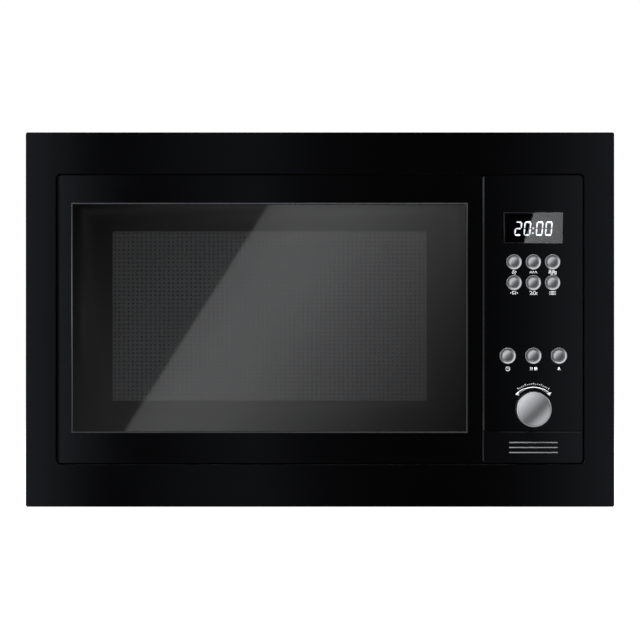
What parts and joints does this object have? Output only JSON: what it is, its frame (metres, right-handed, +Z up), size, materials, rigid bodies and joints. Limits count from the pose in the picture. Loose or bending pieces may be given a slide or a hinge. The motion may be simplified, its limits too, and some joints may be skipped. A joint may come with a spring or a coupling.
{
  "type": "microwave oven",
  "caption": "Built-in combination microwave oven with trim frame, side-hinged glazed door, release button, display, push buttons, setting knob and turntable.",
  "frame": {"origin": "middle of the oven's outline, on the surface that its feet stand on", "axes": "+X along the width to the right as seen from the front, +Y from the front to the back, +Z up"},
  "size_m": [0.594, 0.446, 0.379],
  "materials": {
    "trim_black": "satin black",
    "front_black": "satin black",
    "window_glass": "tinted, glossy",
    "clear_glass": "clear",
    "black_enamel": "enamelled steel",
    "zinc_steel": "galvanised steel",
    "cavity_steel": "fine brushed stainless steel",
    "bright_steel": "polished",
    "satin_silver": "satin, spun",
    "heater_steel": "heat-darkened",
    "aluminium": "plain",
    "core_steel": "lacquered laminations",
    "white_plastic": "moulded",
    "black_plastic": "moulded",
    "dark_rubber": "moulded",
    "mica": "mica sheet",
    "circuit_green": "solder mask",
    "display_black": "glossy lens"
  },
  "bodies": {
    "cabinet": {"trim_frame": "trim_black", "mounting_brackets": "zinc_steel", "front_plate": "black_enamel", "cavity_liner": "cavity_steel", "outer_cover": "zinc_steel", "rear_panel": "zinc_steel", "base_plate": "zinc_steel", "rubber_feet": "dark_rubber", "cord_gland": "black_plastic", "case_screws": "bright_steel", "hinge_brackets": "zinc_steel", "waveguide": "aluminium", "waveguide_cover": "mica", "magnetron": "aluminium", "transformer": "core_steel", "hv_capacitor": "aluminium", "fan_shroud": "black_plastic", "fan_motor": "core_steel", "hot_air_housing": "zinc_steel", "ring_heater": "heater_steel", "hot_air_motor": "core_steel", "grill_element": "heater_steel", "turntable_motor": "zinc_steel", "cavity_lamp": "zinc_steel", "interlock_bracket": "white_plastic", "interlock_switches": "black_plastic", "control_panel": "front_black", "display_window": "display_black", "display_module": "black_plastic", "control_board": "circuit_green", "button_rings": "bright_steel"},
    "door": {"door_frame": "front_black", "door_glass": "window_glass", "door_screen": "black_enamel", "inner_glass": "window_glass", "choke_cover": "black_plastic", "hinge_pins": "bright_steel", "latch_spring": "bright_steel"},
    "latch": {"door_latch": "white_plastic"},
    "release": {"door_release_button": "front_black"},
    "lever": {"release_lever": "white_plastic"},
    "knob": {"knob": "satin_silver", "encoder_shaft": "aluminium"},
    "turntable": {"turntable_coupler": "white_plastic", "turntable_tray": "clear_glass"},
    "ring": {"roller_ring": "white_plastic"},
    "roller_1": {"roller_1": "white_plastic"},
    "roller_2": {"roller_2": "white_plastic"},
    "roller_3": {"roller_3": "white_plastic"},
    "cooling_fan": {"cooling_fan": "white_plastic"},
    "hot_air_fan": {"hot_air_fan": "aluminium"},
    "convection_button": {"convection_button": "satin_silver"},
    "grill_button": {"grill_button": "satin_silver"},
    "microwave_button": {"microwave_button": "satin_silver"},
    "memory_button": {"memory_button": "satin_silver"},
    "combi_button": {"combi_button": "satin_silver"},
    "auto_menu_button": {"auto_menu_button": "satin_silver"},
    "clock_button": {"clock_button": "satin_silver"},
    "pause_button": {"pause_button": "satin_silver"},
    "start_button": {"start_button": "satin_silver"}
  },
  "joints": [
    {"name": "door_hinge", "type": "hinge", "parent": "cabinet", "child": "door", "pos_m": [-0.251, -0.198, 0.19035], "axis": [0, 0, -1], "range_deg": [0, 90]},
    {"name": "release_push", "type": "slide", "parent": "cabinet", "child": "release", "axis": [0, 1, 0], "range_m": [0, 0.005], "stiffness_N_per_m": 1500, "springref_m": -0.004},
    {"name": "lever_tilt", "type": "hinge", "parent": "cabinet", "child": "lever", "pos_m": [0.162, -0.139, 0.09035], "axis": [1, 0, 0], "range_deg": [0, 14.4]},
    {"name": "latch_drop", "type": "slide", "parent": "door", "child": "latch", "axis": [0, 0, -1], "range_m": [0, 0.0053], "stiffness_N_per_m": 300, "springref_m": -0.006, "deforming": ["latch_spring"]},
    {"name": "knob_turn", "type": "hinge", "parent": "cabinet", "child": "knob", "pos_m": [0.2154, -0.214, 0.0994], "axis": [0, 1, 0], "continuous": true},
    {"name": "turntable_turn", "type": "hinge", "parent": "cabinet", "child": "turntable", "pos_m": [-0.051, -0.01, 0.09935], "axis": [0, 0, 1], "continuous": true},
    {"name": "ring_turn", "type": "hinge", "parent": "cabinet", "child": "ring", "pos_m": [-0.051, -0.01, 0.09065], "axis": [0, 0, 1], "continuous": true},
    {"name": "cooling_fan_spin", "type": "hinge", "parent": "cabinet", "child": "cooling_fan", "pos_m": [0.19, 0.13, 0.18595], "axis": [0, 1, 0], "continuous": true},
    {"name": "hot_air_fan_spin", "type": "hinge", "parent": "cabinet", "child": "hot_air_fan", "pos_m": [-0.051, 0.17, 0.18595], "axis": [0, 1, 0], "continuous": true},
    {"name": "roller_1_roll", "type": "hinge", "parent": "ring", "child": "roller_1", "pos_m": [0.048, -0.01, 0.09065], "axis": [1, 0, 0], "continuous": true},
    {"name": "roller_2_roll", "type": "hinge", "parent": "ring", "child": "roller_2", "pos_m": [-0.1005, 0.07574, 0.09065], "axis": [-0.5, 0.866, 0], "continuous": true},
    {"name": "roller_3_roll", "type": "hinge", "parent": "ring", "child": "roller_3", "pos_m": [-0.1005, -0.09574, 0.09065], "axis": [-0.5, -0.866, 0], "continuous": true},
    {"name": "convection_push", "type": "slide", "parent": "cabinet", "child": "convection_button", "axis": [0, 1, 0], "range_m": [0, 0.001], "stiffness_N_per_m": 1200, "springref_m": -0.0008},
    {"name": "grill_push", "type": "slide", "parent": "cabinet", "child": "grill_button", "axis": [0, 1, 0], "range_m": [0, 0.001], "stiffness_N_per_m": 1200, "springref_m": -0.0008},
    {"name": "microwave_push", "type": "slide", "parent": "cabinet", "child": "microwave_button", "axis": [0, 1, 0], "range_m": [0, 0.001], "stiffness_N_per_m": 1200, "springref_m": -0.0008},
    {"name": "memory_push", "type": "slide", "parent": "cabinet", "child": "memory_button", "axis": [0, 1, 0], "range_m": [0, 0.001], "stiffness_N_per_m": 1200, "springref_m": -0.0008},
    {"name": "combi_push", "type": "slide", "parent": "cabinet", "child": "combi_button", "axis": [0, 1, 0], "range_m": [0, 0.001], "stiffness_N_per_m": 1200, "springref_m": -0.0008},
    {"name": "auto_menu_push", "type": "slide", "parent": "cabinet", "child": "auto_menu_button", "axis": [0, 1, 0], "range_m": [0, 0.001], "stiffness_N_per_m": 1200, "springref_m": -0.0008},
    {"name": "clock_push", "type": "slide", "parent": "cabinet", "child": "clock_button", "axis": [0, 1, 0], "range_m": [0, 0.001], "stiffness_N_per_m": 1200, "springref_m": -0.0008},
    {"name": "pause_push", "type": "slide", "parent": "cabinet", "child": "pause_button", "axis": [0, 1, 0], "range_m": [0, 0.001], "stiffness_N_per_m": 1200, "springref_m": -0.0008},
    {"name": "start_push", "type": "slide", "parent": "cabinet", "child": "start_button", "axis": [0, 1, 0], "range_m": [0, 0.001], "stiffness_N_per_m": 1200, "springref_m": -0.0008}
  ],
  "couplings": [
    {"joint": "lever_tilt", "follows": "release_push", "rad_per_m": 50},
    {"joint": "latch_drop", "follows": "release_push", "ratio": 1.04},
    {"joint": "ring_turn", "follows": "turntable_turn", "ratio": 0.5},
    {"joint": "roller_1_roll", "follows": "turntable_turn", "ratio": -5.8235},
    {"joint": "roller_2_roll", "follows": "turntable_turn", "ratio": -5.8235},
    {"joint": "roller_3_roll", "follows": "turntable_turn", "ratio": -5.8235}
  ]
}
